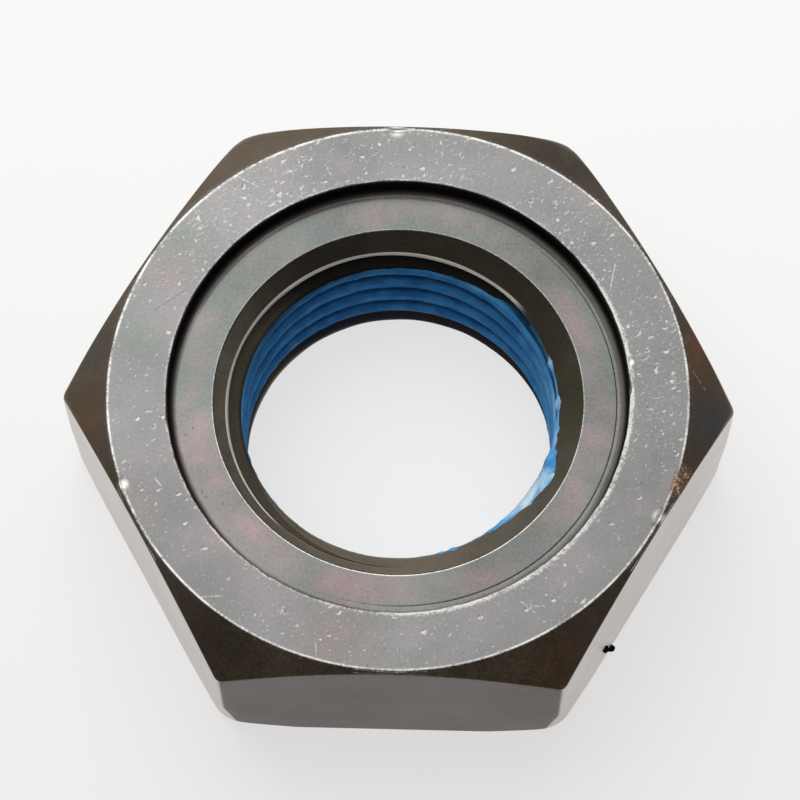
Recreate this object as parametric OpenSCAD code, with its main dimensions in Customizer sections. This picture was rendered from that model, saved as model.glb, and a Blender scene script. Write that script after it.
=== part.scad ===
// Hexagon nut with a recessed bearing face and a locking film in its thread.
// Millimetres, +Z along the thread, origin at the centre of the lower face.

/* [Hexagon] */
// Width across the flats
across_flats = 27; // [25:0.5:34]
// Height from the lower face to the bearing ring
nut_height = 9; // [7:0.25:16]
// Rounding of the six upright edges
edge_radius = 0.8; // [0.2:0.1:2]

/* [Trimmed corners] */
// Outer diameter of the flat bearing ring
ring_dia = 26.7; // [24:0.1:27.5]
// Slope of the cone outside the bearing ring, in degrees
ring_slope = 36; // [15:1:45]
// Diameter of the circle where the lower corners are trimmed
base_trim_dia = 28.2; // [25:0.1:30]
// Slope of the cone on the lower corners, in degrees
base_trim_slope = 30; // [15:1:45]

/* [Recess] */
// Diameter of the recess inside the bearing ring
recess_dia = 21.2; // [19:0.1:23.5]
// Depth of the recess below the bearing ring
recess_depth = 1; // [0.5:0.1:2]
// Fillet where the recess wall meets its floor
recess_fillet = 0.4; // [0.1:0.05:0.5]

/* [Thread bore] */
// Nominal diameter of the thread
thread_dia = 16; // [14:0.5:17]
// Pitch of the thread
thread_pitch = 1.5; // [0.75:0.25:2]
// Diameter of the countersink at the recess floor
countersink_dia = 17.1; // [16.8:0.1:18]
// Included angle of the countersink, in degrees
countersink_angle = 90; // [60:5:120]
// Bevel at the lower mouth of the bore
mouth_bevel = 0.2; // [0.1:0.05:0.6]

/* [Locking film] */
// Thickness of the film on the bore wall
film_thickness = 0.08; // [0.03:0.01:0.1]
// Bare thread between the lower bevel and the film
bare_below = 1; // [0.1:0.1:1.5]
// Bare thread between the film and the countersink
bare_above = 0.5; // [0.1:0.1:1.5]

/* [Hidden] */
$fn = 96;
// Length by which cuts run past the faces they open
overrun = 1;
// Angle from one corner of the hexagon to the next, and between points on a rounded edge
corner_turn = 60;
edge_step = 15;
corner_reach = across_flats / 2 / cos(corner_turn / 2) + overrun;
edge_centre = (across_flats / 2 - edge_radius) / cos(corner_turn / 2);
ring_r = ring_dia / 2;
base_trim_r = base_trim_dia / 2;
recess_r = recess_dia / 2;
recess_floor = nut_height - recess_depth;
// The bore is drilled a pitch smaller than the thread that is cut into it
bore_r = (thread_dia - thread_pitch) / 2;
countersink_r = countersink_dia / 2;
bore_top = recess_floor - (countersink_r - bore_r) / tan(countersink_angle / 2);
// Section of the thread: flat crests and roots with sloping flanks between them
crest_flat = thread_pitch / 3;
root_flat = thread_pitch / 9;
flank = (thread_pitch - crest_flat - root_flat) / 2;
first_flank = mouth_bevel + crest_flat / 2;
thread_turns = floor((bore_top - crest_flat / 2 - first_flank + crest_flat) / thread_pitch);
film_base = mouth_bevel + bare_below;
film_length = bore_top - bare_above - film_base;

// The same points in the other direction
function reverse(points) = [for (i = [len(points) - 1 : -1 : 0]) points[i]];

// Hexagon with rounded corners, two of them on the X axis
module rounded_hexagon() {
    polygon([
        for (corner = [0 : corner_turn : 360 - corner_turn])
            for (turn = [-corner_turn / 2 : edge_step : corner_turn / 2])
                edge_centre * [cos(corner), sin(corner)]
                + edge_radius * [cos(corner + turn), sin(corner + turn)]
    ]);
}

// Half section of the turned envelope: bearing ring, both trimming cones and lower face
module envelope_profile() {
    polygon([
        [0, 0],
        [base_trim_r, 0],
        [corner_reach, (corner_reach - base_trim_r) * tan(base_trim_slope)],
        [corner_reach, nut_height - (corner_reach - ring_r) * tan(ring_slope)],
        [ring_r, nut_height],
        [0, nut_height]
    ]);
}

// Points along the wall of the threaded bore, from the lower bevel to the countersink. Each turn
// of the thread is a ring here, with the real section and pitch; inset moves the wall inwards
function bore_wall(inset = 0) = [
    [bore_r - inset, mouth_bevel],
    for (turn = [0 : thread_turns - 1])
        for (step = [[0, 0], [1, flank], [1, flank + root_flat], [0, 2 * flank + root_flat]])
            [
                bore_r - inset + step[0] * (thread_dia / 2 - bore_r),
                first_flank + turn * thread_pitch + step[1]
            ],
    [bore_r - inset, bore_top]
];

// Half section of everything turned out of the middle, from the lower mouth to the recess
module hollow_profile() {
    difference() {
        polygon([
            [0, -overrun],
            [bore_r + mouth_bevel + overrun, -overrun],
            each bore_wall(),
            [countersink_r, recess_floor],
            [recess_r, recess_floor],
            [recess_r, nut_height + overrun],
            [0, nut_height + overrun]
        ]);
        translate([recess_r - recess_fillet, recess_floor]) fillet_corner(recess_fillet);
    }
}

// What stays in an inside corner at the lower right when it is filleted
module fillet_corner(radius) {
    difference() {
        translate([0, -overrun]) square([radius + overrun, radius + overrun]);
        translate([0, radius]) circle(r = radius);
    }
}

// Steel nut: a hexagon bar with its corners turned to cones and its middle turned out
module nut_body() {
    color([0.5, 0.5, 0.48]) difference() {
        intersection() {
            linear_extrude(nut_height) rounded_hexagon();
            rotate_extrude() envelope_profile();
        }
        rotate_extrude() hollow_profile();
    }
}

// Dried locking compound that lines the turns in the middle of the bore
module locking_film() {
    color([0.12, 0.42, 0.68]) rotate_extrude() intersection() {
        polygon(concat(bore_wall(film_thickness), reverse(bore_wall())));
        translate([0, film_base]) square([thread_dia, film_length]);
    }
}

nut_body();
locking_film();
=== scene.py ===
from math import atan2, cos, degrees, exp, floor, hypot, pi, radians, sin, sqrt, tan

import bmesh
import bpy
from mathutils import Matrix, Vector, noise


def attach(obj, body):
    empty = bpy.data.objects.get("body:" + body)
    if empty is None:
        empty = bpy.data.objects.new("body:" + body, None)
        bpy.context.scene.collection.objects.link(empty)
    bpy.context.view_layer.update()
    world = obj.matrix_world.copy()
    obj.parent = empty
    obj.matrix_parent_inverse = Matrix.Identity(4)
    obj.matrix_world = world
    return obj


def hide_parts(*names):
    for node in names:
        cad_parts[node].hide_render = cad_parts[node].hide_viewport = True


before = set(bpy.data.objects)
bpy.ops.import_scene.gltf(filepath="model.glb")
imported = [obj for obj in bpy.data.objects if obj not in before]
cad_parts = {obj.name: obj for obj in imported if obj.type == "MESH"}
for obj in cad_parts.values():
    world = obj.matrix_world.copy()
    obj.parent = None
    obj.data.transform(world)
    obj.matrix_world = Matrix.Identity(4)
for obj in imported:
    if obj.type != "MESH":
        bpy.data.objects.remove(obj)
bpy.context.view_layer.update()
mm = 0.001
scene = bpy.context.scene
scene.view_settings.view_transform = "Standard"


# one socket of a node tree: sums on it add Math nodes, make() adds any other node
class Wire:
    def __init__(self, tree, socket=None):
        self.tree = tree
        self.socket = socket

    def plug(self, target, value):
        if isinstance(value, Wire):
            self.tree.links.new(value.socket, target)
        else:
            target.default_value = value

    def make(self, kind, settings=None, sockets=None, out=0):
        made = self.tree.nodes.new(kind)
        for name, value in (settings or {}).items():
            if name == "stops":
                ramp = made.color_ramp
                while len(ramp.elements) < len(value):
                    ramp.elements.new(0.5)
                for element, (place, colour) in zip(ramp.elements, value):
                    element.position = place
                    element.color = (*colour, 1)
            else:
                setattr(made, name, value)
        for key, value in (sockets or {}).items():
            self.plug(made.inputs[key], value)
        return Wire(self.tree, made.outputs[out] if made.outputs else None)

    def pick(self, out):
        return Wire(self.tree, self.socket.node.outputs[out])

    def maths(self, operation, *values, clamp=False):
        settings = {"operation": operation, "use_clamp": clamp}
        return self.make("ShaderNodeMath", settings, dict(enumerate(values)))

    def __add__(self, other):
        return self.maths("ADD", self, other)

    def __radd__(self, other):
        return self.maths("ADD", other, self)

    def __sub__(self, other):
        return self.maths("SUBTRACT", self, other)

    def __rsub__(self, other):
        return self.maths("SUBTRACT", other, self)

    def __mul__(self, other):
        return self.maths("MULTIPLY", self, other)

    def __rmul__(self, other):
        return self.maths("MULTIPLY", other, self)

    def __truediv__(self, other):
        return self.maths("DIVIDE", self, other)

    def __rtruediv__(self, other):
        return self.maths("DIVIDE", other, self)

    def __abs__(self):
        return self.maths("ABSOLUTE", self)

    def over(self, other):
        return self.maths("MAXIMUM", self, other)

    def under(self, other):
        return self.maths("MINIMUM", self, other)

    # 0 below start, 1 above end, eased between; start may lie above end
    def ease(self, start, end):
        low, high = min(start, end), max(start, end)
        results = (0.0, 1.0) if start < end else (1.0, 0.0)
        return self.make(
            "ShaderNodeMapRange",
            {"interpolation_type": "SMOOTHSTEP"},
            {0: self, 1: low, 2: high, 3: results[0], 4: results[1]},
        )

    # 1 within half of the middle, eased to 0 over soft
    def band(self, middle, half, soft):
        return abs(self - middle).ease(half + soft, half)

    def tint(self, first, second):
        colours = [value if isinstance(value, Wire) else (*value, 1) for value in (first, second)]
        return self.make(
            "ShaderNodeMix",
            {"data_type": "RGBA"},
            {0: self, 6: colours[0], 7: colours[1]},
            out=2,
        )


# camera

photoView = {
    "elevation": 68.478,  # degrees above the floor
    "turn": 1.991,  # degrees round the nut from the front flat
    "roll": -0.552,
    "aim": (0.091, -0.4173, 149.683),  # right, up and back from the middle of the ring, mm
    "lens": 147.14,
    "sensor": 36,
    "clip": 0.005,  # metres
}


def makeCamera(view, height):
    lift, roll = radians(view["elevation"]), radians(view["roll"])
    back = Vector((0, -cos(lift), sin(lift)))
    right = Vector((1, 0, 0))
    up = back.cross(right)
    right, up = cos(roll) * right + sin(roll) * up, cos(roll) * up - sin(roll) * right
    turned = Matrix.Rotation(radians(view["turn"]), 3, "Z")
    axes = [turned @ axis for axis in (right, up, back)]
    place = Vector((0, 0, height)) + sum(
        (axis * step for axis, step in zip(axes, view["aim"])), Vector()
    )
    data = bpy.data.cameras.new("photoCamera")
    data.lens = view["lens"]
    data.sensor_width = view["sensor"]
    data.clip_start = view["clip"]
    camera = bpy.data.objects.new("photoCamera", data)
    scene.collection.objects.link(camera)
    pose = Matrix(axes).transposed().to_4x4()
    pose.translation = place * mm
    camera.matrix_world = pose
    scene.camera = camera


# steel nut

nutForm = {
    "columns": 432,  # steps round the nut
    "bunching": 0.5,  # how much closer the steps stand at the corners
    "flatReach": 13.5,  # axis to flat
    "edgeRadius": 0.4,  # upright edges half way up
    "hipRadius": 0.5,  # the same edges at the upper cone
    "hipExtra": 1.5,  # added to it at the back corners
    "heelRadius": 1.4,  # and at the lower cone
    "hipReach": 1.0,  # how far down and up those ends blend into the edge
    "heelReach": 2.4,
    "hipWear": 0.40,  # how far from the upper cone's back corners the rounding starts
    "heelWear": 0.25,
    "hipNose": 0.09,  # half angle of that rounding round the nut, in radians
    "heelNose": 0.04,
    "hipRound": 0.045,  # the same rounding away from the corners
    "heelRound": 0.035,
    "footRound": 0.013,  # edge of the lower face
    "lipRound": 0.02,  # outer edge of the ring, and what wear adds to it
    "lipWear": 0.03,
    "rimRound": 0.05,  # rim of the recess, the same
    "rimWear": 0.10,
    "sinkRound": 0.025,  # edge of the countersink
    "height": 9,
    "ringRadius": 13.35,
    "ringSlope": 36,
    "ringTilt": 0.24,  # share by which the cone is shallower at the back and steeper at the front
    "trimRadius": 14.1,
    "trimSlope": 30,
    "recessRadius": 10.6,
    "recessFloor": 8,
    "recessFillet": 0.34,
    "toolLine": 10.07,  # radius of the fine line the recess tool left
    "toolHalf": 0.05,
    "toolDepth": 0.028,
    "toolTurn": -25,  # middle and half length of that line, in degrees
    "toolSpan": 68,
    "countersinkRadius": 8.55,
    "countersinkEdge": 7.9,  # height where the thread wall takes over from the turned faces
}
threadForm = {
    "pitch": 1.5,
    "crestRadius": 7.3,
    "rootRadius": 8,
    "crestHalf": 0.25,
    "rootHalf": 0.0833,
    "phase": -0.374,  # height of a crest's middle on the +X side
    "mouthRadius": 7.4,
    "rowsPerPitch": 18,
}
# knocks on the ring: place, half sizes along and across, direction in degrees, depth, raised lip
ringNicks = [
    ((-0.39, 13.27), (0.45, 0.14), 0, 0.16, 0.02),
    ((-12.33, -4.84), (0.15, 0.28), 20, 0.11, 0.03),
    ((11.97, -5.83), (0.13, 0.40), -28, 0.08, 0.02),
    ((10.62, 1.68), (0.10, 0.18), 10, 0.08, 0.02),
    ((10.62, 0.30), (0.10, 0.20), 0, 0.10, 0.02),
]


def clamped(value):
    return min(max(value, 0), 1)


def columnAngle(step):
    turn = 2 * pi * step / nutForm["columns"]
    return turn - nutForm["bunching"] / 6 * sin(6 * turn)


def hexRadius(angle, edge):
    flat = nutForm["flatReach"]
    off = abs((angle + pi / 6) % (pi / 3) - pi / 6)  # from the nearest corner
    middle = (flat - edge) / cos(pi / 6)
    if off < atan2(edge * 0.5, middle + edge * cos(pi / 6)):
        return middle * cos(off) + sqrt(edge**2 - (middle * sin(off)) ** 2)
    return flat / cos(pi / 6 - off)


def threadRadius(angle, height):
    form = threadForm
    turns = (height - form["pitch"] * angle / (2 * pi) - form["phase"]) / form["pitch"]
    off = abs((turns + 0.5) % 1 - 0.5) * form["pitch"]
    flank = form["pitch"] / 2 - form["rootHalf"] - form["crestHalf"]
    share = clamped((off - form["crestHalf"]) / flank)
    return form["crestRadius"] + share * (form["rootRadius"] - form["crestRadius"])


def coneRadius(height):
    return nutForm["countersinkRadius"] + height - nutForm["recessFloor"]


def wallRadius(angle, height):
    mouth = threadForm["mouthRadius"] - height
    return max(threadRadius(angle, height), coneRadius(height), mouth)


# how worn an edge is at this angle, about 0 to 1
def wear(angle, ring, scale, seed):
    spot = Vector((cos(angle) * ring, sin(angle) * ring, seed)) * scale
    return 0.5 + 0.5 * noise.fractal(spot, 0.6, 2.0, 3)


# corners of the half section at one angle: radius, height, how far from the corner its rounding
# starts, steps of the rounding, rows to the next
def sectionCorners(angle):
    form = nutForm
    top, base = form["height"], form["recessFloor"]
    outer, heelOuter = hexRadius(angle, form["edgeRadius"]), hexRadius(angle, form["heelRadius"])
    hipOuter = hexRadius(angle, form["hipRadius"] + form["hipExtra"] * max(0, sin(angle)))
    ring, recess = form["ringRadius"], form["recessRadius"]
    slope = tan(radians(form["ringSlope"])) * (1 - form["ringTilt"] * sin(angle))
    hip = top - (hipOuter - ring) * slope
    trim = min(form["trimRadius"], heelOuter - 0.1)
    heel = (heelOuter - trim) * tan(radians(form["trimSlope"]))
    rim = form["rimRound"] + form["rimWear"] * wear(angle, recess, 1.1, 3) ** 2
    lip = form["lipRound"] + form["lipWear"] * wear(angle, ring, 0.8, 7) ** 2
    side = (degrees(angle) + 180) % 360 - 180
    off = abs((angle + pi / 6) % (pi / 3) - pi / 6)
    hipNose, heelNose = (exp(-((off / form[name]) ** 2)) for name in ("hipNose", "heelNose"))
    hipNose *= 0.5 + 0.5 * sin(angle)  # crisp at the front
    line = form["toolLine"] + 0.04 * cos(radians(2 * side + 40))  # a little out of round
    groove = form["toolDepth"] * exp(-(((side - form["toolTurn"]) / form["toolSpan"]) ** 4))
    half, start = form["toolHalf"], form["countersinkEdge"]
    return [
        (coneRadius(start), start, 0, 0, 0),
        (form["countersinkRadius"], base, form["sinkRound"], 3, 9),
        (line - half, base, 0.008, 1, 0),
        (line, base - groove, 0.012, 1, 0),
        (line + half, base, 0.008, 1, 1),
        (recess, base, form["recessFillet"], 7, 2),
        (recess, top, rim, 5, 20),
        (ring, top, lip, 4, 5),
        (hipOuter, hip, form["hipRound"] + form["hipWear"] * hipNose, 5, 0),
        (outer, hip - form["hipReach"], 0.35, 3, 5),
        (outer, heel + form["heelReach"], 0.6, 3, 0),
        (heelOuter, heel, form["heelRound"] + form["heelWear"] * heelNose, 5, 1),
        (trim, 0, form["footRound"], 2, 6),
        (wallRadius(angle, 0), 0, 0, 0, 0),
    ]


def sectionPoints(corners):
    path = [Vector(corner[:2]) for corner in corners]
    points = [path[0]]
    for here in range(1, len(path)):
        corner = corners[here]
        if here < len(path) - 1:
            into = (path[here] - path[here - 1]).normalized()
            away = (path[here + 1] - path[here]).normalized()
            first, last = path[here] - into * corner[2], path[here] + away * corner[2]
            arc = []
            for step in range(corner[3] + 1):
                share = step / corner[3]
                rest = 1 - share
                arc.append(first * rest**2 + path[here] * 2 * rest * share + last * share**2)
        else:
            arc = [path[here]]
        # rows of the straight stretch, with one close to each end so that its flatness holds
        rows = corners[here - 1][4]
        span = (arc[0] - points[-1]).length
        near = min(0.05 / span, 0.2) if rows else 0
        shares = [near] + [step / (rows + 1) for step in range(1, rows + 1)] + [1 - near]
        begin = points[-1].copy()
        points += [begin.lerp(arc[0], share) for share in (shares if rows else [])] + arc
    return points


# a knock pushes the steel down and throws up a low lip round it
def knockedHeight(x, y):
    drop = 0
    for (nickX, nickY), (along, across), turn, depth, lip in ringNicks:
        if abs(x - nickX) + abs(y - nickY) > 3:
            continue
        c, s = cos(radians(turn)), sin(radians(turn))
        u = ((x - nickX) * c + (y - nickY) * s) / along
        v = ((y - nickY) * c - (x - nickX) * s) / across
        far = u * u + v * v
        drop += lip * exp(-((far - 1.6) ** 2)) - depth * exp(-far * 1.2)
    return drop


def makeShell():
    columns = nutForm["columns"]
    ringLow, ringInner = nutForm["height"] - 0.4, nutForm["recessRadius"] - 0.6
    form = bmesh.new()
    grid = []
    for step in range(columns):
        angle = columnAngle(step)
        column = []
        for radius, height in sectionPoints(sectionCorners(angle)):
            x, y = radius * cos(angle), radius * sin(angle)
            if height > ringLow and radius > ringInner:
                height += knockedHeight(x, y)
            column.append(form.verts.new((x * mm, y * mm, height * mm)))
        grid.append(column)
    for step, column in enumerate(grid):
        beside = grid[(step + 1) % columns]
        for row in range(len(column) - 1):
            form.faces.new((column[row], column[row + 1], beside[row + 1], beside[row]))
    mesh = bpy.data.meshes.new("nutShell")
    form.to_mesh(mesh)
    form.free()
    print("shell:", len(grid), "columns of", len(grid[0]), "rows")
    return mesh


# thread wall, a Geometry Nodes tree: rows that climb with the helix and are cut off flat

wallSockets = [
    ("Shell", "NodeSocketGeometry"),
    ("Columns", "NodeSocketInt"),
    ("Rows", "NodeSocketInt"),
    ("Bunching", "NodeSocketFloat"),
    ("First Row", "NodeSocketFloat"),
    ("Last Row", "NodeSocketFloat"),
    ("Low", "NodeSocketFloat"),
    ("High", "NodeSocketFloat"),
    ("Pitch", "NodeSocketFloat"),
    ("Phase", "NodeSocketFloat"),
    ("Crest Radius", "NodeSocketFloat"),
    ("Root Radius", "NodeSocketFloat"),
    ("Crest Half", "NodeSocketFloat"),
    ("Root Half", "NodeSocketFloat"),
    ("Cone Offset", "NodeSocketFloat"),
    ("Mouth Radius", "NodeSocketFloat"),
    ("Weld", "NodeSocketFloat"),
    ("Material", "NodeSocketMaterial"),
]


# the thread's radius at a place, a crest, two flanks and a root once each pitch, and the turns
# from the nearest crest
def helixCut(w, angle, height, size):
    climb = size["Pitch"] * angle / (2 * pi)
    turns = (height - climb - size["Phase"]) / size["Pitch"]
    beside = w.maths("FRACT", turns + 0.5) - 0.5  # turns from the nearest crest, below zero under it
    off = abs(beside) * size["Pitch"]
    flank = size["Pitch"] / 2 - size["Root Half"] - size["Crest Half"]
    share = w.maths("DIVIDE", off - size["Crest Half"], flank, clamp=True)
    return size["Crest Radius"] + share * (size["Root Radius"] - size["Crest Radius"]), beside


def makeWallTree():
    tree = bpy.data.node_groups.new("threadWall", "GeometryNodeTree")
    for name, kind in wallSockets:
        tree.interface.new_socket(name, in_out="INPUT", socket_type=kind)
    tree.interface.new_socket("Mesh", in_out="OUTPUT", socket_type="NodeSocketGeometry")
    w = Wire(tree)
    given = w.make("NodeGroupInput")
    size = {name: given.pick(name) for name, kind in wallSockets}
    grid = w.make(
        "GeometryNodeMeshGrid",
        None,
        {"Size X": 1.0, "Size Y": 1.0, "Vertices X": size["Columns"], "Vertices Y": size["Rows"]},
    )
    place = w.make("ShaderNodeSeparateXYZ", None, {0: w.make("GeometryNodeInputPosition")})
    turn = (place.pick("X") + 0.5) * (2 * pi)
    angle = turn - size["Bunching"] / 6 * w.maths("SINE", turn * 6)
    climb = size["Pitch"] * angle / (2 * pi)
    row = size["First Row"] + (place.pick("Y") + 0.5) * (size["Last Row"] - size["First Row"])
    height = (row + climb).over(size["Low"]).under(size["High"])
    cut = helixCut(w, angle, height, size)[0]
    radius = cut.over(height + size["Cone Offset"]).over(size["Mouth Radius"] - height)
    spot = w.make(
        "ShaderNodeCombineXYZ",
        None,
        {0: radius * w.maths("COSINE", angle), 1: radius * w.maths("SINE", angle), 2: height},
    )
    wall = w.make("GeometryNodeSetPosition", None, {"Geometry": grid, "Position": spot})
    wall = w.make("GeometryNodeFlipFaces", None, {"Mesh": wall})
    both = w.make("GeometryNodeJoinGeometry", None, {0: wall})
    tree.links.new(size["Shell"].socket, both.socket.node.inputs[0])
    shape = w.make("GeometryNodeMergeByDistance", None, {"Geometry": both, "Distance": size["Weld"]})
    shape = w.make("GeometryNodeSetShadeSmooth", None, {"Geometry": shape, "Shade Smooth": True})
    shape = w.make("GeometryNodeRealizeInstances", None, {"Geometry": shape})
    shape = w.make("GeometryNodeSetMaterial", None, {"Geometry": shape, "Material": size["Material"]})
    w.make("NodeGroupOutput", None, {0: shape})
    return tree


# runs a tree on a start mesh and leaves a plain mesh object
def grownMesh(name, start, tree, values):
    seed = bpy.data.objects.new(name + "Seed", start)
    scene.collection.objects.link(seed)
    modifier = seed.modifiers.new("grow", "NODES")
    modifier.node_group = tree
    for item in tree.interface.items_tree:
        if item.item_type == "SOCKET" and item.in_out == "INPUT" and item.name in values:
            modifier[item.identifier] = values[item.name]
    graph = bpy.context.evaluated_depsgraph_get()
    mesh = bpy.data.meshes.new_from_object(seed.evaluated_get(graph))
    mesh.name = name
    seed.modifiers.clear()
    bpy.data.objects.remove(seed)
    piece = bpy.data.objects.new(name, mesh)
    scene.collection.objects.link(piece)
    return piece


def wallValues(low, high, material):
    form = threadForm
    step = form["pitch"] / form["rowsPerPitch"]
    first = floor((low - form["pitch"] - form["phase"]) / step)
    last = floor((high - form["phase"]) / step) + 1
    return {
        "Columns": nutForm["columns"] + 1,
        "Rows": last - first + 1,
        "Bunching": nutForm["bunching"],
        "First Row": (form["phase"] + first * step) * mm,
        "Last Row": (form["phase"] + last * step) * mm,
        "Low": low * mm,
        "High": high * mm,
        "Pitch": form["pitch"] * mm,
        "Phase": form["phase"] * mm,
        "Crest Radius": form["crestRadius"] * mm,
        "Root Radius": form["rootRadius"] * mm,
        "Crest Half": form["crestHalf"] * mm,
        "Root Half": form["rootHalf"] * mm,
        "Cone Offset": coneRadius(0) * mm,
        "Mouth Radius": form["mouthRadius"] * mm,
        "Weld": 0.001 * mm,
        "Material": material,
    }


# locking film: the thread wall again, thickened where the compound stuck

filmForm = {
    "low": 0.8,
    "high": 7.75,
    "thickness": 0.06,
    "buried": 0.03,  # how far its back reaches into the steel
    "sunk": 0.026,  # and its face, where it has thinned out
    "feather": 0.16,  # how fast it thins out at its ends
    "smearTurn": 326,  # middle of the smear on the countersink, in degrees
    "smearFade": 11.5,
    "smearLow": 6.60,
    "rightTurn": 5,  # middle of the side where it is chalky and chokes the top groove
    "chalkSpan": 36,
    "chalk": 0.22,
    "chokeSpan": 48,
    "chokeFade": 16,
    "chokeLow": 5.8,
    "chokeRadius": 7.42,
    "chokeShare": 0.85,
}
# top of the film above the lower face, by angle in degrees; it follows the first full crest,
# then climbs onto the countersink where the compound was wiped in
filmTop = [
    (0, 6.90), (3, 7.00), (6, 6.90), (15, 6.90), (19, 6.98), (23, 6.88), (34, 6.78), (40, 6.50), (46, 6.26),
    (54, 6.16), (70, 6.19), (92, 6.27), (150, 6.49), (210, 6.66), (250, 6.68), (284, 6.70), (287, 6.86),
    (289, 6.74), (291, 6.89), (294, 6.72), (303, 6.78), (315, 7.02), (327, 7.22), (335, 7.34), (340, 7.20),
    (346, 6.95), (360, 6.90),
]
filmRagged = [
    (0, 0.03), (45, 0.02), (62, 0.01), (220, 0.01), (280, 0.06), (310, 0.10), (340, 0.10), (360, 0.04),
]
filmLow = [(0, 1.10), (92, 1.30), (180, 1.62), (260, 1.40), (360, 1.10)]
# lumps: angle, height, half angle, half height, extra thickness, paleness
filmLumps = [
    (341, 6.95, 2.6, 0.40, 0.07, -0.9),
    (287, 6.84, 0.8, 0.16, 0.05, -0.5),
    (291.5, 6.86, 1.0, 0.18, 0.06, -0.5),
    (3, 6.90, 2.0, 0.25, 0.10, 0.2),
    (19, 6.90, 2.2, 0.22, 0.10, 0.25),
    (352, 6.85, 4.0, 0.18, 0.08, 0.3),
]


def between(table, angle):
    for (left, low), (right, high) in zip(table, table[1:]):
        if angle <= right:
            share = (angle - left) / (right - left)
            return low + (high - low) * share
    return table[-1][1]


# degrees from a middle, between -180 and 180
def turnFrom(turn, middle):
    return (turn - middle + 180) % 360 - 180


# thickness in mm (below zero is inside the steel) and paleness of the film at a place
def filmCover(angle, height, radius):
    form = filmForm
    turn = degrees(angle) % 360
    spot = Vector((cos(angle) * radius, sin(angle) * radius, height))
    ragged = noise.fractal(spot * 2.2, 0.7, 2.0, 3)
    top = between(filmTop, turn) + ragged * between(filmRagged, turn)
    low = between(filmLow, turn) + ragged * 0.12
    inside = min(top - height, height - low)
    full = min(max(inside / form["feather"], -1), 1)
    streak = noise.noise(Vector((turn * 0.45, height * 0.7, 3.0)))
    thick = form["thickness"] * (1 + 0.45 * streak + 0.5 * noise.noise(spot * 1.3))
    thick = thick * full if full > 0 else form["sunk"] * full
    wiped = clamped(1.7 - abs(turn - form["smearTurn"]) / form["smearFade"])
    thin = clamped((top - height) / 0.30)  # bluer towards its upper border
    pale = (0.35 + 0.58 * thin) * wiped * clamped((height - form["smearLow"]) / 0.35)
    right = turnFrom(turn, form["rightTurn"])
    pale += form["chalk"] * exp(-((right / form["chalkSpan"]) ** 2))
    for lumpTurn, lumpHeight, wide, tall, extra, shade in filmLumps:
        across = turnFrom(turn, lumpTurn) / wide
        up = (height - lumpHeight) / tall
        bulge = exp(-(across**2) - up**2)
        thick += extra * bulge * max(full, 0)
        pale += shade * bulge
    choke = clamped((form["chokeSpan"] - abs(right)) / form["chokeFade"])
    if height > form["chokeLow"]:
        thick += choke * max(0, radius - form["chokeRadius"]) * form["chokeShare"] * max(full, 0)
    return thick, clamped(pale)


def thickenFilm(piece):
    mesh = piece.data
    form = bmesh.new()
    form.from_mesh(mesh)
    chalk = form.verts.layers.float.new("chalk")
    covers = {}
    for vert in form.verts:
        x, y, z = vert.co / mm
        angle, radius = atan2(y, x), hypot(x, y)
        thick, pale = filmCover(angle, z, radius)
        covers[vert] = (thick, radius, angle)
        vert[chalk] = pale
    limit = -0.67 * filmForm["sunk"]
    bare = [face for face in form.faces if all(covers[vert][0] < limit for vert in face.verts)]
    bmesh.ops.delete(form, geom=bare, context="FACES")
    front = list(form.faces)
    back = bmesh.ops.duplicate(form, geom=list(form.verts) + list(form.edges) + front)
    twin = back["vert_map"]
    pairs = [(vert, twin[vert]) for vert in covers if vert.is_valid and vert in twin]
    for vert, behind in pairs:
        thick, radius, angle = covers[vert]
        for point, reach in ((vert, radius - thick), (behind, radius + filmForm["buried"])):
            point.co.x, point.co.y = reach * mm * cos(angle), reach * mm * sin(angle)
    copies = [item for item in back["geom"] if isinstance(item, bmesh.types.BMFace)]
    bmesh.ops.reverse_faces(form, faces=copies)
    rim = [edge for face in front for edge in face.edges if edge.is_boundary]
    for edge in rim:
        loop = edge.link_loops[0]
        first, second = loop.vert, loop.link_loop_next.vert
        form.faces.new((second, first, twin[first], twin[second]))
    for face in form.faces:
        face.smooth = True
    form.to_mesh(mesh)
    form.free()


# burrs: tiny crumbs of steel thrown up by knocks, scattered over the ring by Geometry Nodes

burrForm = {
    "inner": 10.72,
    "outer": 13.22,
    "height": 9.0,
    "density": 1.0e6,  # per square metre where they are thickest
    "small": 0.025,
    "large": 0.055,
    "flatness": 0.35,
    "stretch": (0.5, 1.6),
    "tip": 0.3,  # how far they lean, in radians
    "patches": 260.0,  # scale of the patches they stand in
    "steps": 96,  # of the ring they are scattered on
    "seed": 11,
}
burrSockets = [
    ("Ring", "NodeSocketGeometry"),
    ("Density", "NodeSocketFloat"),
    ("Small", "NodeSocketFloat"),
    ("Large", "NodeSocketFloat"),
    ("Flatness", "NodeSocketFloat"),
    ("Seed", "NodeSocketInt"),
    ("Material", "NodeSocketMaterial"),
]


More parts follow.
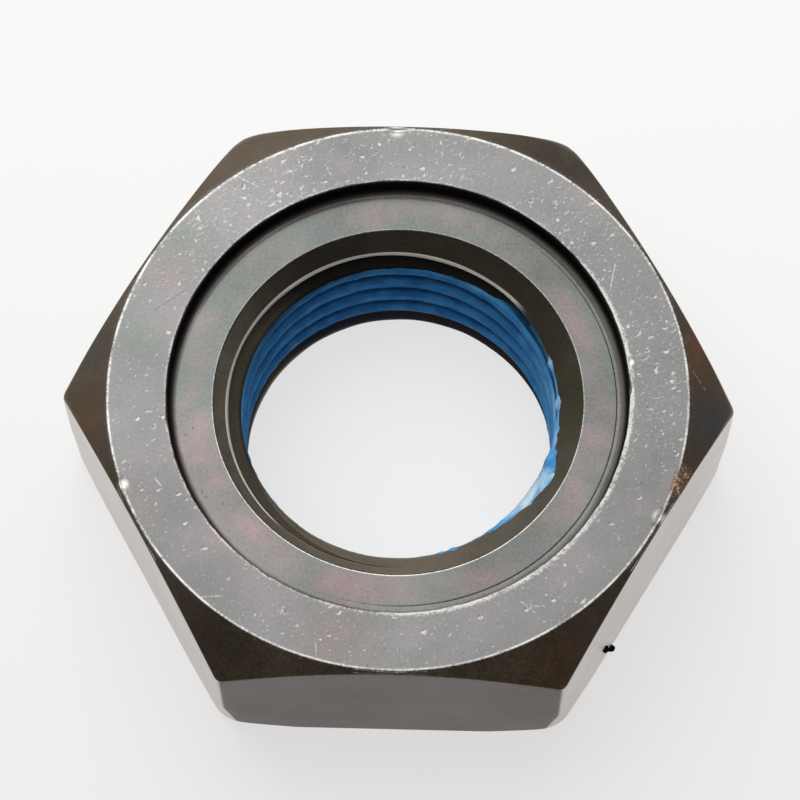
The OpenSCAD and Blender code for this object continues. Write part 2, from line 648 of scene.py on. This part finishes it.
def makeBurrTree():
    tree = bpy.data.node_groups.new("ringBurrs", "GeometryNodeTree")
    for name, kind in burrSockets:
        tree.interface.new_socket(name, in_out="INPUT", socket_type=kind)
    tree.interface.new_socket("Mesh", in_out="OUTPUT", socket_type="NodeSocketGeometry")
    w = Wire(tree)
    given = w.make("NodeGroupInput")
    size = {name: given.pick(name) for name, kind in burrSockets}
    patches = w.make("ShaderNodeTexNoise", None, {"Scale": burrForm["patches"], "Detail": 2.0})
    points = w.make(
        "GeometryNodeDistributePointsOnFaces",
        {"distribute_method": "RANDOM"},
        {
            "Mesh": size["Ring"],
            "Density": size["Density"] * patches.ease(0.42, 0.72),
            "Seed": size["Seed"],
        },
    )
    crumb = w.make("GeometryNodeMeshIcoSphere", None, {"Radius": 1.0, "Subdivisions": 1})
    tip, (slim, wide) = burrForm["tip"], burrForm["stretch"]
    spin = w.make(
        "FunctionNodeRandomValue",
        {"data_type": "FLOAT_VECTOR"},
        {0: (-tip, -tip, 0.0), 1: (tip, tip, 2 * pi), "Seed": size["Seed"]},
    )
    draw = w.make("FunctionNodeRandomValue", {"data_type": "FLOAT"}, {2: 0.0, 3: 1.0, "Seed": 5}, out=1)
    reach = size["Small"] + draw * draw * (size["Large"] - size["Small"])
    stretch = w.make("FunctionNodeRandomValue", {"data_type": "FLOAT"}, {2: slim, 3: wide, "Seed": 8}, out=1)
    scale = w.make("ShaderNodeCombineXYZ", None, {0: reach, 1: reach * stretch, 2: reach * size["Flatness"]})
    crumbs = w.make(
        "GeometryNodeInstanceOnPoints",
        None,
        {"Points": points, "Instance": crumb, "Rotation": spin, "Scale": scale},
    )
    shape = w.make("GeometryNodeRealizeInstances", None, {"Geometry": crumbs})
    shape = w.make("GeometryNodeSetMaterial", None, {"Geometry": shape, "Material": size["Material"]})
    w.make("NodeGroupOutput", None, {0: shape})
    return tree


def makeRingFace():
    form = bmesh.new()
    inner, outer, height = (burrForm[name] * mm for name in ("inner", "outer", "height"))
    steps = burrForm["steps"]
    rims = [
        [
            form.verts.new((reach * cos(2 * pi * step / steps), reach * sin(2 * pi * step / steps), height))
            for step in range(steps)
        ]
        for reach in (inner, outer)
    ]
    for step in range(steps):
        after = (step + 1) % steps
        form.faces.new((rims[0][step], rims[1][step], rims[1][after], rims[0][after]))
    mesh = bpy.data.meshes.new("ringFace")
    form.to_mesh(mesh)
    form.free()
    return mesh


# dirt is stuck to the right front flat as small uneven lumps

dirtForm = {
    "lumps": [((9.90, -9.93, 2.02), 0.18), ((10.24, -9.38, 0.40), 0.17)],  # place, radius
    "uneven": 0.5,
    "knobs": 7,  # scale of the unevenness
}


def addCrumbs(piece, material):
    index = len(piece.data.materials)
    piece.data.materials.append(material)
    form = bmesh.new()
    form.from_mesh(piece.data)
    uneven, knobs = dirtForm["uneven"], dirtForm["knobs"]
    for place, size in dirtForm["lumps"]:
        lump = bmesh.ops.create_icosphere(form, subdivisions=3, radius=size * mm)["verts"]
        for vert in lump:
            spot = vert.co / mm
            swell = 1 + uneven * noise.noise(spot * knobs + Vector(place))
            vert.co = (spot * swell + Vector(place)) * mm
            for face in vert.link_faces:
                face.smooth = True
                face.material_index = index
    form.to_mesh(piece.data)
    form.free()


# materials


def newMaterial(name):
    material = bpy.data.materials.new(name)
    material.use_nodes = True
    material.node_tree.nodes.clear()
    return material, Wire(material.node_tree)


def objectPoint(w):
    place = w.make("ShaderNodeTexCoord").pick("Object")
    return w.make("ShaderNodeVectorMath", {"operation": "SCALE"}, {0: place, "Scale": 1 / mm})


# 1 near a place given in mm, 0 beyond reach
def spotMask(w, point, place, reach, core=0.0):
    far = w.make("ShaderNodeVectorMath", {"operation": "DISTANCE"}, {0: point, 1: place}, out=1)
    return far.ease(reach, core)


def noiseAt(w, point, scale, detail=3.0, roughness=0.55):
    return w.make(
        "ShaderNodeTexNoise",
        None,
        {"Vector": point, "Scale": scale, "Detail": detail, "Roughness": roughness},
    )


# scattered specks of about 1/scale mm apart; keep is the share of cells without one
def speckMask(w, point, scale, size, keep):
    cells = w.make("ShaderNodeTexVoronoi", None, {"Vector": point, "Scale": scale})
    draw = w.make("ShaderNodeSeparateColor", None, {0: cells.pick("Color")})
    return cells.pick("Distance").ease(size, size * 0.4) * draw.pick(0).ease(keep, keep + 0.05)


def dimmed(w, colour, factor):
    return w.make("ShaderNodeVectorMath", {"operation": "SCALE"}, {0: colour, "Scale": factor})


# 1 along a scratch between two places given in mm
def lineMask(w, point, start, end, half, soft=0.03):
    along = Vector(end) - Vector(start)
    offset = w.make("ShaderNodeVectorMath", {"operation": "SUBTRACT"}, {0: point, 1: start})
    unit = tuple(along / along.length_squared)
    share = w.make("ShaderNodeVectorMath", {"operation": "DOT_PRODUCT"}, {0: offset, 1: unit}, out=1)
    share = w.maths("ADD", share, 0.0, clamp=True)
    nearest = dimmed(w, tuple(along), share)
    far = w.make("ShaderNodeVectorMath", {"operation": "DISTANCE"}, {0: offset, 1: nearest}, out=1)
    return far.ease(half + soft, half)


def threadSizes():
    values = wallValues(0, nutForm["recessFloor"], None)
    return {name: value / mm for name, value in values.items() if isinstance(value, float)}


steelLook = {
    "ring": (0.180, 0.178, 0.177),
    "floor": (0.149, 0.153, 0.148),
    "bore": (0.126, 0.105, 0.076),
    # the next three: the countersink painted lighter on its left, right and front, as painted light
    "litBoreLeft": (0.415, 0.362, 0.262),
    "litBoreRight": (0.165, 0.145, 0.094),
    "litBoreFront": (0.365, 0.300, 0.215),
    # the bare thread painted near black as shade, less dark low down, and lighter on the near side as
    # painted light
    "thread": (0.030, 0.026, 0.024),
    "threadLow": (0.062, 0.057, 0.064),
    "litThreadFront": (0.120, 0.100, 0.072),
    # painted shade on the recess wall and in its corner with the floor
    "cornerShade": (0.050, 0.042, 0.040),
    # the flats are one finish, painted as shade on the front flat, as light on the two beside it and between
    # on those behind
    "flat": (0.127, 0.109, 0.103),
    "litSideFlat": (0.660, 0.630, 0.615),
    "rearFlat": (0.330, 0.305, 0.292),
    "chamfer": (0.165, 0.129, 0.094),
    "umber": (0.075, 0.060, 0.044),
    "brown": (0.235, 0.125, 0.075),
    "slate": (0.105, 0.118, 0.130),
    "bright": (0.62, 0.61, 0.58),
    "cream": (0.60, 0.55, 0.46),
    # near white: a painted highlight on the burr where the thread runs out, and flecks in the rust
    "thrown": (0.98, 0.91, 0.78),
    # dark: painted shade on the unlit side of each dent, and the dark pits, specks and one scratch
    "pit": (0.030, 0.028, 0.026),
    "pink": (0.275, 0.165, 0.163),
    "green": (0.150, 0.172, 0.148),
    "blush": (0.190, 0.172, 0.177),
    "dusk": (0.125, 0.124, 0.121),
    "light": (0.240, 0.234, 0.230),
    "rust": (0.230, 0.118, 0.052),
}
# tinted patches of the plating: colour, strength, then place and reach of each
platingTints = [
    ("dusk", 0.65, [((-9.2, -8.4, 9), 5.5), ((-3.0, 12.0, 9), 3.5)]),
    ("light", 0.45, [((0.5, -12.2, 9), 4.0), ((-8.2, 9.0, 9), 3.0)]),
    ("pink", 0.33, [((-8.3, -3.4, 8), 3.4), ((-6.4, -6.8, 8), 3.8), ((-10.7, 5.8, 9), 1.8)]),
    ("pink", 0.24, [((-2.4, -9.3, 8), 2.6), ((-2.5, -12.0, 9), 3.0)]),
    ("pink", 0.20, [((3.6, -8.9, 8), 2.0), ((6.9, -5.5, 8), 1.8), ((-12.0, -5.6, 9), 2.2)]),
    ("green", 0.4, [((1.7, -9.3, 8), 2.4), ((-9.2, -0.4, 8), 2.2)]),
    ("green", 0.5, [((-10.3, 7.2, 9), 2.2), ((-11.9, 2.2, 9), 2.4)]),
    ("umber", 0.9, [((7.2, 12.6, 8.2), 6.0)]),
    ("umber", 0.5, [((-8.4, -12.2, 8.2), 4.5)]),
    ("brown", 0.4, [((7.6, -12.4, 8.2), 4.5)]),
    ("brown", 1.0, [((14.0, 2.4, 8.5), 2.3)]),
    ("brown", 0.5, [((-14.4, -1.3, 8.3), 1.9)]),
    ("slate", 1.0, [((14.4, -0.9, 8.2), 2.0)]),
    ("slate", 0.5, [((-14.0, 1.9, 8.4), 1.5)]),
]
# scratches: two ends, half width, strength, colour
scratches = [
    ((9.69, 5.27, 9), (9.92, 6.54, 9), 0.018, 0.35, "bright"),
    ((-8.59, -10.12, 9), (-7.61, -10.05, 9), 0.020, 0.28, "bright"),
    ((-10.90, -4.56, 9), (-10.61, -4.85, 9), 0.022, 0.35, "bright"),
    ((5.74, -9.97, 9), (6.37, -10.45, 9), 0.020, 0.32, "bright"),
    ((6.06, -10.21, 9), (6.79, -10.16, 9), 0.018, 0.26, "bright"),
    ((6.21, -9.91, 9), (6.17, -10.37, 9), 0.018, 0.26, "bright"),
    ((-8.03, 10.79, 9), (-6.85, 10.15, 9), 0.018, 0.26, "bright"),
    ((-3.69, 11.35, 9), (-3.43, 10.81, 9), 0.018, 0.28, "bright"),
    ((-9.75, 8.94, 9), (-9.30, 7.96, 9), 0.018, 0.25, "bright"),
    ((-3.36, -11.91, 9), (-3.30, -12.72, 9), 0.018, 0.22, "bright"),
    ((13.50, 1.40, 8.85), (14.10, 0.60, 8.43), 0.025, 0.6, "cream"),
    ((-11.34, 3.75, 9), (-10.00, 4.79, 9), 0.022, 0.32, "pit"),
]
floorPits = [(-9.38, -1.67), (-9.68, -2.02), (-8.81, -4.78), (-8.62, -5.01), (-7.83, -5.33)]
# stains at the outer edge of the ring: place, reach, core
edgeStains = {
    "rust": ((12.90, -4.1, 8.87), 1.1, 0.4),
    "gold": ((2.8, -12.9, 8.95), 1.4, 0.2),
}


# levels and radii that the masks are set out from
top, base = nutForm["height"], nutForm["recessFloor"]
ringEdge, recessEdge = nutForm["ringRadius"], nutForm["recessRadius"]
sinkEdge = nutForm["countersinkRadius"]
boreTop = threadForm["crestRadius"] - coneRadius(0)


# which face of the nut a point lies on, as masks from 0 to 1, and a few measures along them
def steelZones(w, point):
    axes = w.make("ShaderNodeSeparateXYZ", None, {0: point})
    x, y, z = (axes.pick(name) for name in "XYZ")
    radius = w.maths("SQRT", x * x + y * y)
    slope = tan(radians(nutForm["ringSlope"]))
    steep = slope * (1 - nutForm["ringTilt"] * y / radius)
    rise = z - top + (radius - ringEdge) * steep  # 0 on the upper cone
    gap = radius - z - coneRadius(0)  # 0 on the countersink
    cut, beside = helixCut(w, w.maths("ARCTAN2", y, x), z, threadSizes())
    zone = {"x": x, "y": y, "z": z, "radius": radius, "beside": beside}
    zone["deeper"] = cut - z - coneRadius(0)  # how far the thread is cut below the countersink
    zone["ring"] = z.ease(top - 0.14, top - 0.06)
    zone["floor"] = z.band(base, 0.12, 0.1) * radius.ease(recessEdge - 0.20, recessEdge - 0.36)
    zone["floor"] = zone["floor"] * radius.ease(sinkEdge - 0.10, sinkEdge)
    facing = w.make("ShaderNodeSeparateXYZ", None, {0: w.make("ShaderNodeNewGeometry").pick("Normal")})
    under = facing.pick("Z").ease(-0.25, -0.45) * z.ease(0.06, 0.02).over(radius.ease(12, 13))
    zone["bore"] = radius.ease(sinkEdge + 0.01, sinkEdge - 0.05) * z.ease(base - 0.01, base - 0.05)
    zone["bore"] = zone["bore"] * (1 - under)
    zone["thread"] = zone["bore"] * gap.ease(0.015, 0.05).over(z.ease(boreTop - 0.01, boreTop - 0.07))
    # the recess wall and the floor at its foot, painted dark as shade, reaching further in on the far side
    wall = (radius + y.over(0) * 0.011).ease(recessEdge - 0.40, recessEdge - 0.32)
    wall = wall * radius.ease(recessEdge + 0.06, recessEdge)
    zone["corner"] = wall * z.ease(top - 0.02, top - 0.10) * z.ease(base - 0.5, base - 0.2)
    zone["outside"] = radius.ease(ringEdge - 0.05, ringEdge + 0.05) * (1 - under)
    zone["chamfer"] = zone["outside"] * facing.pick("Z").ease(0.20, 0.36)
    zone["hip"] = zone["outside"] * rise.band(-0.05, 0.02, 0.05)
    # painted light: these facets take the colour of the lit flats beside the front one
    heel = (abs(x) - z * 0.235).ease(6.98, 7.08)  # small bright facets under the upright edges
    zone["side"] = zone["outside"] * abs(x).ease(7.62, 7.80).over(heel)
    zone["rear"] = zone["outside"] * y.ease(-0.12, 0.12)
    zone["front"] = (y * -0.12 + x * -0.03 + 0.5).ease(0.2, 1.4)
    zone["left"] = (x * -0.10 + y * -0.05).ease(0.1, 0.85)
    zone["far"] = (y * 0.13 + x * 0.05).ease(0.15, 0.65)
    zone["right"] = (x * 0.09 - y * 0.05).ease(0.1, 0.9)
    zone["flatland"] = zone["ring"].over(zone["floor"])
    return zone


# colour of each face before wear: turned faces, bore, flats, cones
def faceColour(zone, look):
    # the flats are lit and shaded copies of one finish: painted light beside the front flat, painted shade
    # on it
    flats = zone["rear"].tint(zone["side"].tint(look["flat"], look["litSideFlat"]), look["rearFlat"])
    colour = zone["outside"].tint(look["floor"], flats)
    colour = zone["ring"].tint(colour, look["ring"])
    # painted light: the countersink lighter on its right, left and front than on its far side
    bore = zone["right"].tint(look["bore"], look["litBoreRight"])
    bore = zone["front"].tint(zone["left"].tint(bore, look["litBoreLeft"]), look["litBoreFront"])
    colour = zone["bore"].tint(colour, bore)
    # painted shade on the bare thread, eased to painted light on its near side
    thread = zone["z"].ease(2.0, 4.0).tint(look["threadLow"], look["thread"])
    colour = zone["thread"].tint(colour, zone["far"].tint(look["litThreadFront"], thread))
    colour = zone["chamfer"].tint(colour, look["chamfer"])
    # painted shade on the recess wall and in its corner with the floor
    return (zone["corner"] * 0.95).tint(colour, look["cornerShade"])


# where the dents are thickest: place, reach, core
dentPlaces = [
    ((-7.6, 9.2, 9), 7.0, 2.5),
    ((11.4, 1.0, 9), 6.0, 2.0),
    ((0.5, 12.2, 9), 4.5, 1.0),
    ((8.4, 8.6, 9), 4.5, 0.5),
]


# small dents on the ring, thickest at the upper left and on the right, each with a painted highlight on one
# side and painted shade on the other
def ringDents(w, point, zone, grain):
    stir = noiseAt(w, point, 3.0, 2.0).pick("Color")
    warped = w.make(
        "ShaderNodeVectorMath",
        {"operation": "MULTIPLY_ADD"},
        {0: stir, 1: (0.45, 0.45, 0.0), 2: point},
    )
    thick = spotMask(w, point, *dentPlaces[0])
    for place, reach, core in dentPlaces[1:]:
        thick = thick.over(spotMask(w, point, place, reach, core))
    crowd = 0.24 + 0.76 * thick * noiseAt(w, point, 0.8, 2.0).ease(0.20, 0.55)
    rims, pitsAndShade = [], []
    for scale, share in ((2.4, 0.70), (3.8, 0.92), (6.4, 1.05)):
        cells = w.make("ShaderNodeTexVoronoi", None, {"Vector": warped, "Scale": scale})
        draw = w.make("ShaderNodeSeparateColor", None, {0: cells.pick("Color")})
        struck = (draw.pick(0) + crowd * share).ease(0.98, 1.02) * zone["ring"]
        away = cells.pick("Distance") / (0.5 + 0.9 * draw.pick(1))
        middle = cells.pick("Position")
        offset = w.make("ShaderNodeVectorMath", {"operation": "SUBTRACT"}, {0: warped, 1: middle})
        lit = w.make(
            "ShaderNodeVectorMath",
            {"operation": "DOT_PRODUCT"},
            {0: offset, 1: (0.6, -0.8, 0.0)},
            out=1,
        )
        lit = lit.ease(-0.02, 0.03)  # one side of the dent catches the light
        shine = grain.ease(0.30, 0.48) * (0.12 + 0.46 * draw.pick(2))
        # rims: the painted highlight on the lit side of each dent; the second list: painted shade on its
        # other side
        rims.append(away.band(0.16, 0.06, 0.07) * struck * shine * lit)
        pitsAndShade.append(away.ease(0.22, 0.10) * struck * (0.20 + 0.40 * draw.pick(1)) * (1 - lit))
    return rims[0].over(rims[1]).over(rims[2]), pitsAndShade[0].over(pitsAndShade[1]).over(pitsAndShade[2])


# edges and high spots where the plating is rubbed through, and the countersink's rim, rubbed bright and
# brighter at the front as a painted highlight
def rubbedEdges(zone, patch, grain):
    radius, z = zone["radius"], zone["z"]
    ragged = patch * 0.35 + grain * 0.5
    spread = zone["right"] * (0.03 + 0.55 * (grain - 0.40).over(0))
    inner = (radius - spread).ease(recessEdge + 0.20, recessEdge + 0.04)
    inner = inner * (ragged + zone["right"] * 0.05).ease(0.35, 0.52) * (0.34 + 0.30 * patch)
    outer = radius.band(ringEdge - 0.04, 0.02, 0.08) * (patch * 0.5 + grain * 0.45).ease(0.36, 0.56)
    floorRim = radius.band(sinkEdge - 0.005, 0.015, 0.05) * z.ease(base - 0.07, base - 0.02)
    floorRim = floorRim * ragged.ease(0.25, 0.5)
    wearAndGlints = (inner * z.ease(top - 0.14, top - 0.04)).over(outer * 0.75 * z.ease(top - 0.16, top - 0.03))
    wearAndGlints = wearAndGlints.over(floorRim * (0.30 + 0.5 * zone["front"]))
    wearAndGlints = wearAndGlints.over(zone["hip"] * ragged.ease(0.40, 0.6) * 0.08)
    return wearAndGlints.over(z.ease(top + 0.006, top + 0.02) * 0.6), ragged


def makeSteel(look):
    material, w = newMaterial("platedSteel")
    point = objectPoint(w)
    broad = noiseAt(w, point, 0.22, 3.0)
    patch = noiseAt(w, point, 0.75, 4.0)
    grain = noiseAt(w, point, 7.0, 4.0, 0.65)
    fine = noiseAt(w, point, 26.0, 2.0)
    zone = steelZones(w, point)
    colour = faceColour(zone, look)

    for name, strength, places in platingTints:
        mask = spotMask(w, point, *places[0])
        for place, reach in places[1:]:
            mask = mask.over(spotMask(w, point, place, reach))
        where = zone["chamfer"] if name in ("umber", "brown", "slate") else zone["flatland"]
        colour = (mask * patch.ease(0.15, 0.60) * where * strength).tint(colour, look[name])
    colour = (broad.ease(0.42, 0.66) * zone["flatland"] * 0.4).tint(colour, look["blush"])
    # thin colours of the passivation: rosy in the middle of the recess floor, greenish beside it
    hue = noiseAt(w, point, 0.45, 2.0) + zone["radius"].band(9.30, 0.15, 0.55) * 0.14 - 0.14
    hue = hue.ease(0.36, 0.66).tint(look["green"], look["pink"])
    colour = (zone["floor"] * 0.24 + zone["ring"] * 0.09).tint(colour, hue)
    cloud = (broad - 0.5) * 0.55 + (patch - 0.5) * 0.35 + (grain - 0.5) * 0.72 + (fine - 0.5) * 0.45
    # painted shade and light: the ring darker towards its lower right, the recess floor darker overall and
    # towards its right, the upper cones lighter to the right and at the back
    lean = (zone["y"] - zone["x"]) * 0.004 * zone["ring"]
    lean = lean + (abs(zone["x"]) * 0.006 - zone["x"] * 0.008 - 0.32) * zone["floor"]
    lean = lean + (zone["x"] * 0.003 + zone["y"].over(0) * 0.006) * zone["chamfer"]
    cloud = cloud * (1 + 0.7 * zone["outside"] - 1.1 * zone["side"].over(zone["rear"]))
    colour = dimmed(w, colour, (1 + cloud + lean).over(0.3))

    rims, pitsAndShade = ringDents(w, point, zone, grain)
    wearAndGlints, ragged = rubbedEdges(zone, patch, grain)
    # the rubbed wear together with the dents' painted highlights, all painted bright
    wearAndGlints = wearAndGlints.over(rims)
    # the knocks are painted bright: bare steel with a painted highlight
    for nick in ringNicks:
        place, halves = nick[:2]
        spot = spotMask(w, point, (*place, top - 0.05), max(halves) + 0.06, 0.08)
        wearAndGlints = wearAndGlints.over(spot * grain.ease(0.24, 0.42) * 0.95)
    colour = wearAndGlints.tint(colour, look["bright"])
    # a painted highlight, near white and not metal, along the burr where the thread runs out under the
    # countersink
    runOut = zone["deeper"].band(-0.13, 0.21, 0.06) * zone["beside"].ease(0.02, -0.02) * zone["bore"]
    runOut = runOut * zone["z"].ease(boreTop - 0.09, boreTop + 0.05) * ragged.ease(0.20, 0.34)
    runOut = runOut * (zone["y"] - zone["x"]).ease(-1.3, 0.5)  # not at the front right
    colour = (runOut * 0.95).tint(colour, look["thrown"])
    for start, end, half, strength, name in scratches:
        mask = lineMask(w, point, start, end, half) * grain.ease(0.42, 0.52)
        colour = (mask * strength).tint(colour, look[name])

    for place in floorPits:
        pitsAndShade = pitsAndShade.over(spotMask(w, point, (*place, base), 0.075, 0.02) * ragged.ease(0.26, 0.36))
    pitsAndShade = pitsAndShade.over(speckMask(w, point, 1.5, 0.045, 0.80) * zone["floor"] * 0.6)
    # painted shade on the dark side of each dent, with the dark pits and specks of the recess floor
    colour = (pitsAndShade * 0.65).tint(colour, look["pit"])

    edgeBand = zone["radius"].ease(ringEdge - 0.25, ringEdge - 0.05) * zone["z"].ease(top - 0.7, top - 0.4)
    rust = spotMask(w, point, *edgeStains["rust"]) * grain.ease(0.36, 0.50) * edgeBand
    gold = spotMask(w, point, *edgeStains["gold"]) * ragged.ease(0.38, 0.6) * edgeBand * 0.5
    stain = rust.over(gold)
    colour = stain.tint(colour, look["rust"])
    colour = (rust * grain.ease(0.54, 0.62) * 0.6).tint(colour, look["thrown"])

    rough = 0.30 + 0.10 * patch + 0.14 * grain + 0.06 * zone["bore"] + 0.12 * zone["thread"]
    rough = rough - 0.04 * wearAndGlints + 0.25 * stain - 0.13 * zone["floor"]
    metal = 1 - (0.7 * stain).over(0.75 * runOut)
    relief = grain * 0.4 + fine * 0.25
    bump = w.make("ShaderNodeBump", None, {"Strength": 0.55, "Distance": 0.014 * mm, "Height": relief})
    shader = w.make(
        "ShaderNodeBsdfPrincipled",
        None,
        {"Base Color": colour, "Metallic": metal, "Roughness": rough, "Normal": bump},
    )
    w.make("ShaderNodeOutputMaterial", None, {"Surface": shader})
    return material


filmLook = {
    "deep": (0.048, 0.242, 0.530),
    "mid": (0.110, 0.420, 0.790),
    "pale": (0.64, 0.81, 0.88),
}


def makeFilm(look):
    material, w = newMaterial("lockingFilm")
    point = objectPoint(w)
    axes = w.make("ShaderNodeSeparateXYZ", None, {0: point})
    x, y, z = (axes.pick(name) for name in "XYZ")
    chalk = w.make("ShaderNodeAttribute", {"attribute_name": "chalk"}).pick("Fac")
    # brush marks run round with the turns
    turn = w.maths("ARCTAN2", y, x)
    across = z - turn * (threadForm["pitch"] / (2 * pi))
    radius = w.maths("SQRT", x * x + y * y)
    brushed = w.make("ShaderNodeCombineXYZ", None, {0: turn * 5.0, 1: across * 5.5, 2: radius})
    streak = noiseAt(w, brushed, 1.0, 4.0, 0.6)
    mottle = noiseAt(w, point, 1.0, 2.0)
    grain = noiseAt(w, point, 14.0, 3.0)
    colour = (mottle * 0.5 + streak * 0.5).ease(0.35, 0.70).tint(look["deep"], look["mid"])
    pale = (chalk + (streak - 0.5) * 1.8 * chalk.ease(0.0, 0.4)).ease(0.10, 1.0)
    colour = pale.tint(colour, look["pale"])
    beside = helixCut(w, turn, z, threadSizes())[1]
    # painted shade in the bottom of each turn, under the crest above it, and in the choked top turn at the
    # far right
    turnShade = 1 - 0.62 * beside.ease(0.21, 0.29) * z.ease(7.0, 6.8)
    turnShade = turnShade * (1 - 0.52 * y.ease(1.5, 4.5) * z.ease(6.10, 6.35))
    colour = dimmed(w, colour, turnShade * (0.9 + 0.2 * grain))
    rough = 0.62 + 0.2 * mottle
    bump = w.make(
        "ShaderNodeBump",
        None,
        {"Strength": 0.25, "Distance": 0.02 * mm, "Height": streak * 0.7 + grain * 0.3},
    )
    shader = w.make(
        "ShaderNodeBsdfPrincipled",
        None,
        {"Base Color": colour, "Roughness": rough, "Normal": bump, "Specular IOR Level": 0.04},
    )
    w.make("ShaderNodeOutputMaterial", None, {"Surface": shader})
    return material


dirtLook = {
    "dry": (0.022, 0.019, 0.017),
    "wet": (0.006, 0.006, 0.006),
}


def makeDirt(look):
    material, w = newMaterial("stuckDirt")
    grain = noiseAt(w, objectPoint(w), 9.0)
    shader = w.make(
        "ShaderNodeBsdfPrincipled",
        None,
        {"Base Color": grain.tint(look["wet"], look["dry"]), "Roughness": 1.0, "Specular IOR Level": 0.0},
    )
    w.make("ShaderNodeOutputMaterial", None, {"Surface": shader})
    return material


# floor, light and sky

stageForm = {
    "floorReach": 1.5,
    # the paper is painted darker near the camera and lighter towards the back, as painted light
    "floorNear": (0.912, 0.902, 0.895),
    "floorFar": (0.990, 0.988, 0.985),
    "floorBlend": (-22, 26),  # where the one turns to the other, mm towards the back
    "glow": 0.72,  # share of the paper's own white that the camera and polished steel see
    "boxSize": 0.50,
    "boxPlace": (-0.10, 0.25, 0.38),
    "boxPower": 1.75,
    "skyBack": [(0.0, (0.26, 0.26, 0.26)), (0.6, (0.30, 0.30, 0.30)), (0.95, (0.75, 0.75, 0.75))],
    "skyFront": [(0.0, (0.03, 0.03, 0.03)), (0.6, (0.11, 0.108, 0.10)), (0.95, (0.45, 0.45, 0.45))],
    "skyLean": 0.32,  # how much darker the sky is on the right
}


def makeStage(form):
    material, w = newMaterial("paleFloor")
    point = objectPoint(w)
    away = w.make("ShaderNodeSeparateXYZ", None, {0: point}).pick("Y")
    # painted light: the paper lighter towards the back
    colour = away.ease(*form["floorBlend"]).tint(form["floorNear"], form["floorFar"])
    paper = w.make("ShaderNodeBsdfDiffuse", None, {"Color": colour})
    white = w.make("ShaderNodeEmission", None, {"Color": colour, "Strength": 1.0})
    path = w.make("ShaderNodeLightPath")
    seen = path.pick("Is Camera Ray").over(path.pick("Is Glossy Ray")).over(path.pick("Is Transmission Ray"))
    shader = w.make("ShaderNodeMixShader", None, {0: seen * form["glow"], 1: paper, 2: white})
    w.make("ShaderNodeOutputMaterial", None, {"Surface": shader})
    reach = form["floorReach"]
    mesh = bpy.data.meshes.new("floor")
    corners = [(x * reach, y * reach, 0) for x, y in ((-1, -1), (1, -1), (1, 1), (-1, 1))]
    mesh.from_pydata(corners, [], [(0, 1, 2, 3)])
    mesh.materials.append(material)
    ground = bpy.data.objects.new("floor", mesh)
    scene.collection.objects.link(ground)

    lamp = bpy.data.lights.new("softBox", "AREA")
    lamp.shape = "SQUARE"
    lamp.size = form["boxSize"]
    lamp.energy = form["boxPower"]
    box = bpy.data.objects.new("softBox", lamp)
    box.location = form["boxPlace"]
    box.rotation_euler = (-Vector(box.location)).to_track_quat("-Z", "Y").to_euler()
    scene.collection.objects.link(box)

    world = bpy.data.worlds.new("studio")
    world.use_nodes = True
    world.node_tree.nodes.clear()
    w = Wire(world.node_tree)
    way = w.make("ShaderNodeSeparateXYZ", None, {0: w.make("ShaderNodeTexCoord").pick("Generated")})
    back, front = (
        w.make("ShaderNodeValToRGB", {"stops": form[name]}, {0: way.pick("Z")})
        for name in ("skyBack", "skyFront")
    )
    sky = way.pick("Y").ease(-0.5, 0.6).tint(front, back)
    sky = dimmed(w, sky, 1 - form["skyLean"] * way.pick("X"))
    glow = w.make("ShaderNodeBackground", None, {"Color": sky, "Strength": 1.0})
    w.make("ShaderNodeOutputWorld", None, {"Surface": glow})
    scene.world = world


makeCamera(photoView, nutForm["height"])
makeStage(stageForm)
steel = makeSteel(steelLook)
film = makeFilm(filmLook)
print("camera, stage and materials ready")

wallTree = makeWallTree()
nutBody = grownMesh(
    "nutBody", makeShell(), wallTree, wallValues(0, nutForm["countersinkEdge"], steel)
)
print("nut:", len(nutBody.data.polygons), "faces")

lockingFilm = grownMesh(
    "lockingFilm",
    bpy.data.meshes.new("filmStart"),
    wallTree,
    wallValues(filmForm["low"], filmForm["high"], film),
)
thickenFilm(lockingFilm)
print("film:", len(lockingFilm.data.polygons), "faces")

ringBurrs = grownMesh(
    "ringBurrs",
    makeRingFace(),
    makeBurrTree(),
    {
        "Density": burrForm["density"],
        "Small": burrForm["small"] * mm,
        "Large": burrForm["large"] * mm,
        "Flatness": burrForm["flatness"],
        "Seed": burrForm["seed"],
        "Material": steel,
    },
)
addCrumbs(ringBurrs, makeDirt(dirtLook))
print("burrs:", len(ringBurrs.data.polygons), "faces")

for piece in (nutBody, lockingFilm, ringBurrs):
    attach(piece, "root")
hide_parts("nut_body")
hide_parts("locking_film")
